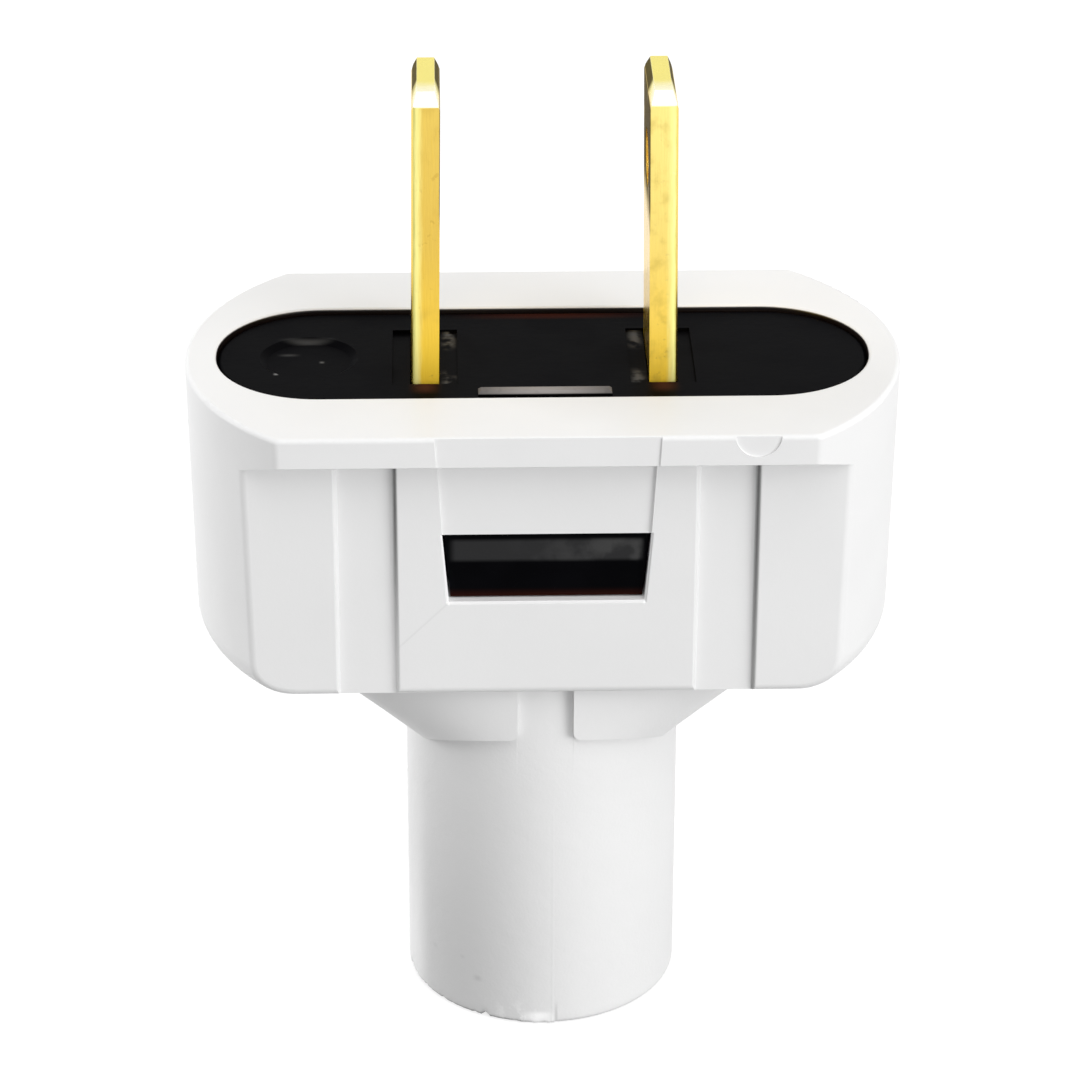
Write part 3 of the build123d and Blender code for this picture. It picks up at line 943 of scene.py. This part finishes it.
def add_camera(stage):
    """Camera that was fitted to the photo, from its place, its turn and its lens."""
    azimuth, elevation, roll = stage.camera_turn
    camera = bpy.data.objects.new("camera", bpy.data.cameras.new("camera"))
    camera.data.lens = stage.lens
    camera.data.sensor_width = SENSOR_WIDTH
    camera.data.clip_start = 0.01
    camera.data.clip_end = 20
    turn = Matrix.Rotation(azimuth, 4, "Z") @ Matrix.Rotation(math.pi / 2 - elevation, 4, "X")
    turn = turn @ Matrix.Rotation(roll, 4, "Z")
    camera.matrix_world = Matrix.Translation(stage.camera_place) @ turn
    bpy.context.scene.collection.objects.link(camera)
    bpy.context.scene.camera = camera


def add_softbox(name, power):
    """Softbox of the list, which looks at the plug's middle."""
    azimuth, elevation, width, height = SOFTBOXES[name]
    light = bpy.data.lights.new(name, "AREA")
    light.shape = "RECTANGLE"
    light.size, light.size_y = width, height
    light.energy = power
    softbox = bpy.data.objects.new(name, light)
    turn = Matrix.Rotation(math.radians(azimuth), 4, "Z")
    tilt = Matrix.Rotation(math.radians(90 - elevation), 4, "X")
    middle = Matrix.Translation((0, 0, RIM_TOP / 2))
    softbox.matrix_world = middle @ turn @ tilt @ Matrix.Translation((0, 0, SOFTBOX_DISTANCE))
    bpy.context.scene.collection.objects.link(softbox)
    return softbox


def seen_rays(tree):
    """1 for rays that show the background: from the camera, off gloss and through glass."""
    path = tree.add("ShaderNodeLightPath", {}, {})
    rays = [Value(tree, path.outputs[f"Is {kind} Ray"]) for kind in ("Camera", "Glossy", "Transmission")]
    return rays[0] | rays[1] | rays[2]


def white_world(ambient):
    """Surroundings that show white, and light the plug more weakly than they look."""
    world = bpy.data.worlds.new("studio")
    tree = Tree(world)
    around = tree.node("ShaderNodeBackground", {}, {"Color": opaque(grey(1.0)), "Strength": ambient})
    white = tree.node("ShaderNodeBackground", {}, {"Color": opaque(grey(1.0)), "Strength": 1.0})
    shader = tree.node("ShaderNodeMixShader", {}, {0: seen_rays(tree), 1: around, 2: white})
    tree.add("ShaderNodeOutputWorld", {}, {"Surface": shader})
    return world


def floor_white():
    """Pale floor that shows white round the plug and keeps a soft shadow."""
    material, tree = new_material("floor_white")
    plain = tree.node("ShaderNodeBsdfDiffuse", {}, {"Color": opaque(grey(0.3))})
    shaded = tree.node("ShaderNodeBsdfDiffuse", {}, {"Color": opaque(grey(0.35))})
    glow = tree.node("ShaderNodeEmission", {}, {"Color": opaque(grey(1.0)), "Strength": 0.75})
    seen = tree.node("ShaderNodeAddShader", {}, {0: shaded, 1: glow})
    shader = tree.node("ShaderNodeMixShader", {}, {0: seen_rays(tree), 1: plain, 2: seen})
    tree.add("ShaderNodeOutputMaterial", {}, {"Surface": shader})
    return material


class PLUG_OT_stage(bpy.types.Operator):
    """Set up the floor, the lights, the white surroundings and the camera"""

    bl_idname = "plug.stage"
    bl_label = "Stage"

    def execute(self, context):
        stage = context.scene.plug_stage
        half = FLOOR_HALF_WIDTH
        mesh = bpy.data.meshes.new("floor")
        corners = [(-half, -half, 0), (half, -half, 0), (half, half, 0), (-half, half, 0)]
        mesh.from_pydata(corners, [], [(0, 1, 2, 3)])
        floor = add_object("floor", mesh)
        set_material(floor, floor_white())
        boxes = {name: add_softbox(name, getattr(stage, f"{name}_power")) for name in SOFTBOXES}
        boxes["rim"].visible_glossy = False
        context.scene.world = white_world(stage.ambient)
        add_camera(stage)
        context.scene.view_settings.view_transform = "Standard"
        return {"FINISHED"}


# Panel and registration


class PLUG_PT_parts(bpy.types.Panel):
    """Lists the plug's parts and their sizes and colours"""

    bl_idname = "PLUG_PT_parts"
    bl_label = "Two-prong plug"
    bl_space_type = "VIEW_3D"
    bl_region_type = "UI"
    bl_category = "Plug"

    def draw(self, context):
        for name, (group, operator) in PARTS.items():
            box = self.layout.box()
            box.operator(operator.bl_idname)
            settings = getattr(context.scene, name)
            for field in group.__annotations__:
                box.prop(settings, field)


PARTS = {
    "plug_shell": (ShellFinish, PLUG_OT_shell),
    "plug_core": (CoreFinish, PLUG_OT_core),
    "plug_blades": (BladeFinish, PLUG_OT_blades),
    "plug_thread": (ScrewThread, PLUG_OT_screws),
    "plug_stage": (StudioStage, PLUG_OT_stage),
}


def register():
    for name, (group, operator) in PARTS.items():
        bpy.utils.register_class(group)
        bpy.utils.register_class(operator)
        setattr(bpy.types.Scene, name, PointerProperty(type=group))
    bpy.utils.register_class(PLUG_PT_parts)


def unregister():
    bpy.utils.unregister_class(PLUG_PT_parts)
    for name, (group, operator) in reversed(PARTS.items()):
        delattr(bpy.types.Scene, name)
        bpy.utils.unregister_class(operator)
        bpy.utils.unregister_class(group)


def main():
    register()
    bpy.ops.plug.shell()
    bpy.ops.plug.core()
    bpy.ops.plug.blades()
    bpy.ops.plug.screws()
    bpy.ops.plug.stage()


if __name__ == "__main__":
    main()
